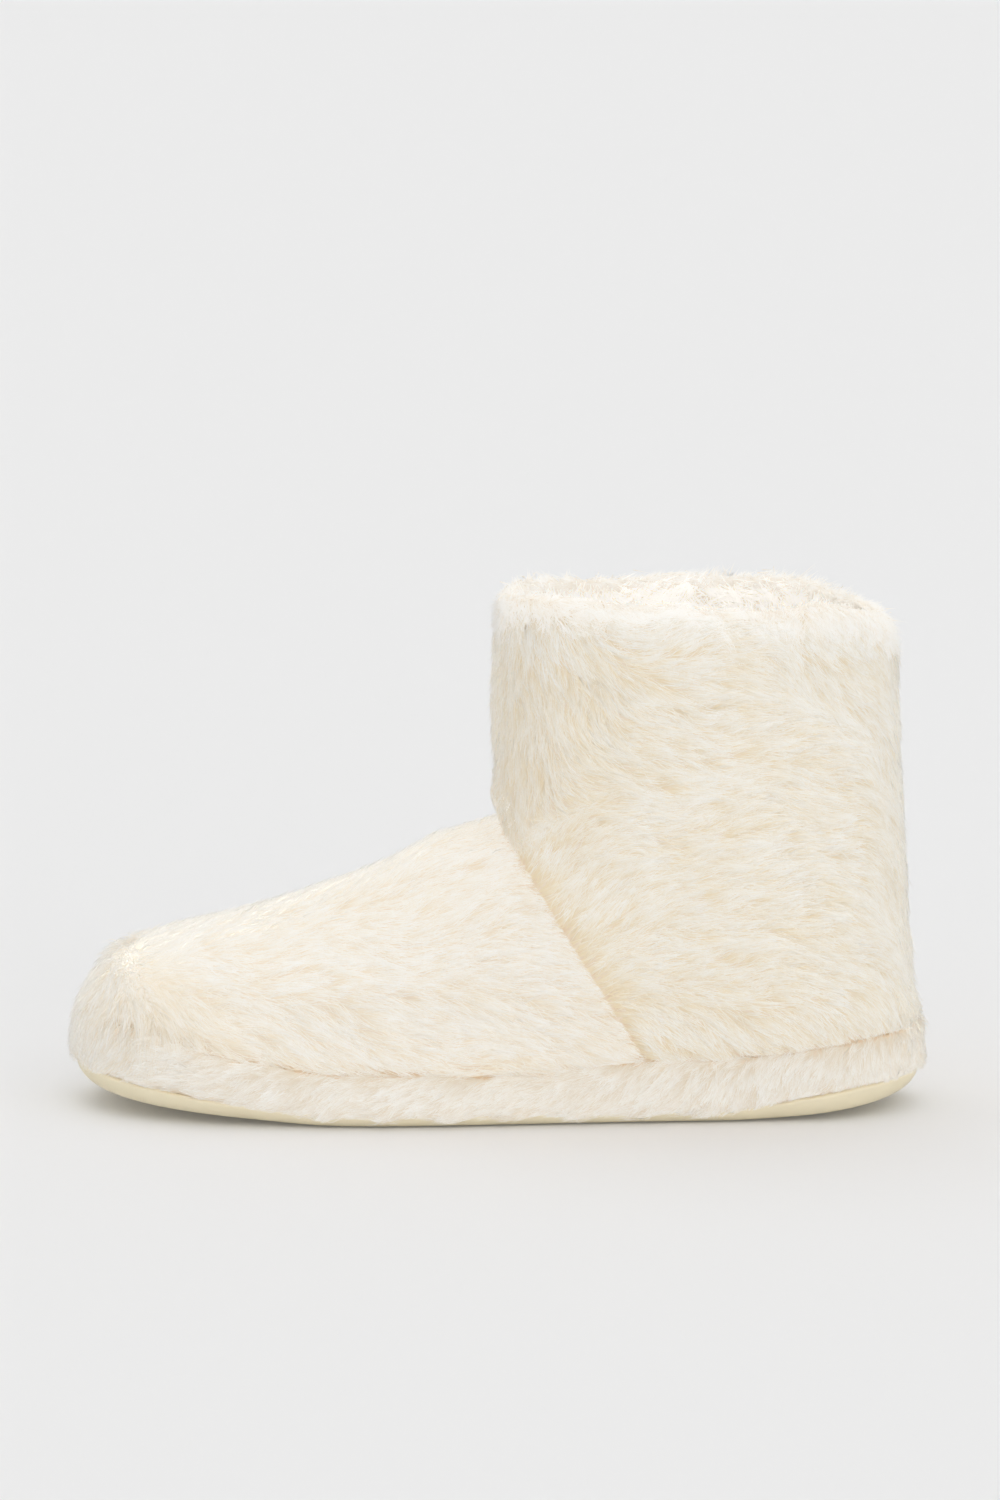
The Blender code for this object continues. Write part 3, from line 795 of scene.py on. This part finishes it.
def mottle_group():
    """Soft mottling of a colour, a deeper one in grooves for tan roots and painted shade, and a fine grain
    for the bump.
    """
    group, into, out = new_group(
        "mottled",
        {
            "Light": "Color", "Dark": "Color", "Deep": "Color",
            "Blotch": "Float", "Grain": "Float", "Groove": "Float",
        },
        {"Color": "Color", "Roughness": "Float", "Height": "Float"},
    )
    place = node(group, "ShaderNodeTexCoord")
    blotch, grain = (node(group, "ShaderNodeTexNoise") for _ in range(2))
    preset(blotch, {"Detail": 5})
    preset(grain, {"Detail": 2})
    blend, sunk = (colour_mix(group) for _ in range(2))
    rough = ranged(group, 0.0, 1.0, 0.5, 0.68)
    wire(
        group,
        (place, "Object", blotch, "Vector"),
        (place, "Object", grain, "Vector"),
        (into, "Blotch", blotch, "Scale"),
        (into, "Grain", grain, "Scale"),
        (blotch, "Fac", blend, "Factor"),
        (into, "Dark", blend, "A"),
        (into, "Light", blend, "B"),
        (into, "Groove", sunk, "Factor"),
        (blend, "Result", sunk, "A"),
        (into, "Deep", sunk, "B"),
        (sunk, "Result", out, "Color"),
        (grain, "Fac", rough, "Value"),
        (rough, "Result", out, "Roughness"),
        (grain, "Fac", out, "Height"),
    )
    return group


def mottled_finish(name, group, light, dark, blotch, grain, bump, deep=None):
    """A mottled finish. Blotches and grain are counted to the metre, and the bump is in mm."""
    finish, tree, shader = blank_material(name)
    surface = node(tree, "ShaderNodeGroup", node_tree=group)
    preset(surface, {"Light": srgb(*light), "Dark": srgb(*dark), "Blotch": blotch, "Grain": grain})
    # Tan roots and painted shade deepen the colour along the grooves
    if deep:
        preset(surface, {"Deep": srgb(*deep)})
        groove = node(tree, "ShaderNodeAttribute", attribute_name="groove")
        wire(tree, (groove, "Fac", surface, "Groove"))
    relief = node(tree, "ShaderNodeBump")
    preset(relief, {"Strength": 0.5, "Distance": bump * MM})
    wire(
        tree,
        (surface, "Color", shader, "Base Color"),
        (surface, "Roughness", shader, "Roughness"),
        (surface, "Height", relief, "Height"),
        (relief, "Normal", shader, "Normal"),
    )
    return finish


def fit(piece, finish, slot_name, *nodes):
    piece.data.materials.clear()
    piece.data.materials.append(finish)
    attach(piece, "root")
    if nodes:
        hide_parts(*nodes)


def below_collar(points):
    """How far each point lies below the top of the collar."""
    return np.interp(points[:, 0], *COLLAR_TOP.T) + collar_puff(points) - points[:, 2]


def band_room(points):
    """To the foot of the band, and past it as far as its fur hangs."""
    return above_foot(points) + np.interp(points[:, 0], *BAND_FRINGE.T)


def vamp_room(points):
    """To the vamp seam, or to the band below it, which the fur of the toe runs over."""
    toe = toe_share(points)
    low = toe * band_room(points) + (1 - toe) * (above_band(points) + 0.6 * MM)
    return np.minimum(0.8 * MM - behind_seam(points), low)


def shaft_room(points):
    """To the vamp seam, the band or the collar, whichever is nearest."""
    seam, band = behind_seam(points) + 0.3 * MM, above_band(points) + 0.6 * MM
    return np.minimum.reduce((seam, band, below_collar(points) - 1.5 * MM))


def fluff_room(points):
    """To the uneven lower edge of the collar's plush."""
    return (14 + 2.5 * ripple(points, 9 * MM, 37)) * MM - below_collar(points)


def seam_shade(points, width):
    return np.exp(-np.abs(behind_seam(points)) / width)


def hem_shade(points):
    return np.exp(-np.maximum(above_band(points), 0) / (2.5 * MM))


def crease_shade(points):
    """Where the pile parts over a crease, its tan roots show, and the crease is painted in shade."""
    shade = np.zeros(len(points))
    for path, half_width, deep in CREASES:
        shade += max(deep, 0) * bell(off_path(points, np.array(path) * MM), 0.6 * half_width * MM)
    return np.clip(shade, 0, 1.5)


def vamp_tone(points):
    x, z = points[:, 0], points[:, 2]
    toe = toe_share(points)
    ridge = ramp(z - 0.3 * x, 75 * MM, 87 * MM)
    low = ramp(z, 48 * MM, 24 * MM)
    tone = 0.74 + 0.04 * ripple(points, 22 * MM, 31) + 0.03 * ripple(points, 7 * MM, 35)
    tone += 0.12 * toe + 0.12 * ridge - 0.12 * low - 0.20 * ruffled(points)[:, 0]
    tone -= 0.15 * hem_shade(points) * (1 - toe)
    return tone - 0.20 * seam_shade(points, 1.2 * MM) - 0.12 * crease_shade(points)


def shaft_tone(points):
    x, z = points[:, 0], points[:, 2]
    # Painted shade on the front of the shaft, which turns away from the light
    front = ramp(x, 42 * MM, 24 * MM) * ramp(z, 78 * MM, 93 * MM) * (1 - 0.35 * ramp(x, 12 * MM, 2 * MM))
    rear = ramp(x, 84 * MM, 104 * MM)
    rim = ramp(z, 144 * MM, 156 * MM)
    tone = 0.67 + 0.05 * ripple(points, 22 * MM, 32) + 0.05 * ripple(points, 7 * MM, 36)
    tone += 0.22 * rim + 0.06 * rear - 0.19 * front * (1 - rim) - 0.15 * hem_shade(points)
    return tone - 0.26 * seam_shade(points, 1.6 * MM) - 0.12 * crease_shade(points)


def band_tone(points):
    x = points[:, 0]
    # Painted shade: the band is darkest at its top edge, where it meets the upper
    under = ramp(above_band(points), 0, -3 * MM)
    # Painted light: the band is lighter along its rear half, where less lamp light reaches it
    rear = ramp(x, 40 * MM, 60 * MM) * ramp(x, 116 * MM, 100 * MM)
    tone = 0.24 + 0.08 * ripple(points, 12 * MM, 33) + 0.08 * ripple(points, 5 * MM, 38)
    return tone + 0.36 * under + 0.12 * rear


def lining_tone(points):
    return 0.85 + 0.08 * ripple(points, 14 * MM, 34)


def fluff_tone(points):
    down = ramp(below_collar(points), 1 * MM, 11 * MM)
    return 0.9 - 0.5 * down + 0.08 * ripple(points, 14 * MM, 34)


def dress_upper(strand, mottled, band):
    upper = backing("upper", "upper_backing", voxel=2.4, rounds=8, sink_at=upper_sink)
    press_creases(upper)
    round_collar(upper)
    mark_grooves(upper, width=2.2 * MM, ground=0.5)
    knit = mottled_finish(
        "knitted backing", mottled, light=(249, 244, 235), dark=(244, 235, 221),
        blotch=130, grain=1500, bump=0.5, deep=TAN_ROOTS_AND_SHADE,
    )
    fit(upper, knit, "fur", "upper")
    skin = skin_of(upper)
    grow_vamp(strand, skin_over_toe(skin, upper, band))
    grow_quarters(strand, skin)
    return grow_plush(strand, skin)


def grow_vamp(strand, skin):
    """The fur of the vamp, which at the toe runs on over the band."""
    place = skin.centres
    coat = np.where(place[:, 0] > TOE_COAT[0], above_band(place) > -2 * MM, band_room(place) > 3.5 * MM)
    coat = coat & (faces_out(place, skin.facing) > -0.1) & (behind_seam(place) <= 0)
    coat = coat * (1 + 2 * bell(np.linalg.norm(place[:, [0, 2]] - TOE_WHORL, axis=1), WHORL_WIDTH))
    fur = grow("vamp_fur", skin, coat, VAMP_COMB, VAMP_PILE, vamp_tone, seed=1, room_at=vamp_room)
    fit(fur, fur_finish("pale ivory fur", strand, PALE_IVORY), "fur")


def grow_quarters(strand, skin):
    """The fur of shaft and heel, in one piece on the outer side and one on the inner side."""
    place = skin.centres
    coat = (faces_out(place, skin.facing) > -0.1) & (above_band(place) > -2 * MM)
    coat = coat & (behind_seam(place) > 0) & (below_collar(place) > 3 * MM)
    outward = place[:, 1] < 0
    pieces = [
        grow(name, skin, coat & half, SHAFT_COMB, QUARTER_PILE, shaft_tone, seed, shaft_room)
        for name, half, seed in (("quarter_fur_outer", outward, 2), ("quarter_fur_inner", ~outward, 3))
    ]
    ivory = fur_finish("ivory fur", strand, IVORY)
    for piece in pieces:
        fit(piece, ivory, "fur")


def grow_plush(strand, skin):
    """The lining, thinner where it is out of sight, and the soft roll of the collar."""
    place = skin.centres
    out = faces_out(place, skin.facing)
    lined = (out <= 0.1) & (place[:, 0] > -20 * MM) & (place[:, 2] > 45 * MM) & (below_collar(place) > 2 * MM)
    lined = lined * np.maximum(ramp(place[:, 2], 112 * MM, 136 * MM), 0.14)
    lining = grow("lining_pile", skin, lined, SHAFT_COMB, LINING_PILE, lining_tone, seed=4, fluffy=True)
    rim = ramp(below_collar(place), 14 * MM, 4 * MM) ** 1.3 * (out > -0.8)
    collar = grow(
        "collar_fluff", skin, rim, RIM_COMB, COLLAR_PILE, fluff_tone, seed=7, room_at=fluff_room, fluffy=True
    )
    white = fur_finish("white plush", strand, WHITE)
    fit(lining, white, "plush")
    fit(collar, fur_finish("collar plush", strand, MILK), "plush")
    return white


def dress_band(strand, mottled):
    """The fur band round the sole; at the toe the fur of the vamp covers it."""
    band = backing("midsole_wrap", "band_backing", voxel=2.2, rounds=5, sink_at=band_sink)
    tuck_foot(band)
    mark_grooves(band, width=2.5 * MM, ground=0.3)
    knit = mottled_finish(
        "band backing", mottled, light=(243, 234, 220), dark=(234, 219, 198),
        blotch=130, grain=1500, bump=0.5, deep=TAN_ROOTS_AND_SHADE,
    )
    fit(band, knit, "fur_band", "midsole_wrap")
    skin = skin_of(band)
    wall = (np.abs(skin.facing[:, 2]) < 0.9) & (band_room(skin.centres) > 2.5 * MM)
    wall = wall * (1 - toe_share(skin.centres))
    fur = grow("band_fur", skin, wall, BAND_COMB, BAND_PILE, band_tone, seed=5, room_at=band_room)
    fit(fur, fur_finish("band fur", strand, BAND_IVORY), "fur_band")
    return band


def dress_insole(white, mottled):
    pad = backing("insole", "insole_pad", voxel=2.2, rounds=5, sink_at=insole_sink)
    plush = mottled_finish(
        "insole plush", mottled, light=(248, 243, 233), dark=(238, 226, 208), blotch=160, grain=1200, bump=0.6
    )
    fit(pad, plush, "plush", "insole")
    skin = skin_of(pad)
    top = (skin.facing[:, 2] > 0.4) & (skin.centres[:, 0] > -60 * MM)
    pile = grow("insole_pile", skin, top, INSOLE_COMB, INSOLE_PILE, lining_tone, seed=6)
    fit(pile, white, "plush")


def dress_outsole(mottled):
    sole = merged_copy("outsole", "outsole_rubber")
    apply_modifier(sole, "SUBSURF", levels=2, render_levels=2)
    sole.data.shade_smooth()
    rubber = mottled_finish(
        "pale rubber", mottled, light=(238, 228, 200), dark=(231, 219, 189), blotch=60, grain=900, bump=0.12
    )
    fit(sole, rubber, "rubber", "outsole")


def light_studio():
    bpy.ops.mesh.primitive_plane_add(size=60)
    floor = bpy.context.active_object
    floor.name = "studio_floor"
    finish, _, shader = blank_material("pale floor")
    preset(shader, {
        "Base Color": (0.767, 0.767, 0.767, 1),
        "Emission Color": (1, 1, 1, 1),
        "Emission Strength": 0.05,
        "Roughness": 0.9,
        "Specular IOR Level": 0.1,
    })
    floor.data.materials.append(finish)
    world = bpy.data.worlds.new("studio")
    bpy.context.scene.world = world
    world.use_nodes = True
    backdrop = world.node_tree.nodes["Background"]
    preset(backdrop, {"Color": (0.83, 0.83, 0.83, 1)})
    # The dome lamp lights the slipper, and the world only shows behind it.
    ray = node(world.node_tree, "ShaderNodeLightPath")
    wire(world.node_tree, (ray, "Is Camera Ray", backdrop, "Strength"))
    for name, strength, spread, turn in (
        ("dome", 2.55, 180, (0, 0, 0)),
        ("overhead softbox", 0.42, 50, (-20, -10, 0)),
        ("front softbox", 0.65, 60, (66, 0, 20)),
    ):
        lamp = bpy.data.lights.new(name, "SUN")
        lamp.energy = strength
        lamp.angle = math.radians(spread)
        lamp.cycles.use_multiple_importance_sampling = False
        holder = bpy.data.objects.new(name, lamp)
        holder.rotation_euler = [math.radians(value) for value in turn]
        bpy.context.scene.collection.objects.link(holder)
    bpy.context.scene.view_settings.view_transform = "Standard"


def place_camera():
    target = Vector((0.8, 0, 111.3)) * MM
    tilt, distance = math.radians(9), 2.6
    back = Vector((0, -math.cos(tilt), math.sin(tilt)))
    lens = bpy.data.cameras.new("photo camera")
    lens.lens = 200
    lens.sensor_width = 36
    camera = bpy.data.objects.new("photo camera", lens)
    camera.location = target + back * distance
    camera.rotation_euler = (-back).to_track_quat("-Z", "Y").to_euler()
    bpy.context.scene.collection.objects.link(camera)
    bpy.context.scene.camera = camera


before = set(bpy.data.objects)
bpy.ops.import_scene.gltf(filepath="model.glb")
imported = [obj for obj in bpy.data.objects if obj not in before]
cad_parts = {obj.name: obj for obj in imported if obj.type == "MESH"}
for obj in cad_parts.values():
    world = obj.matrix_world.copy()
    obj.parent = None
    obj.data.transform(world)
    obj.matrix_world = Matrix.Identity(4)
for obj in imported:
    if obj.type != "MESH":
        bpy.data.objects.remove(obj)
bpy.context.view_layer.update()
place_camera()
light_studio()
strand = strand_group()
mottled = mottle_group()
band = dress_band(strand, mottled)
white = dress_upper(strand, mottled, band)
dress_insole(white, mottled)
dress_outsole(mottled)
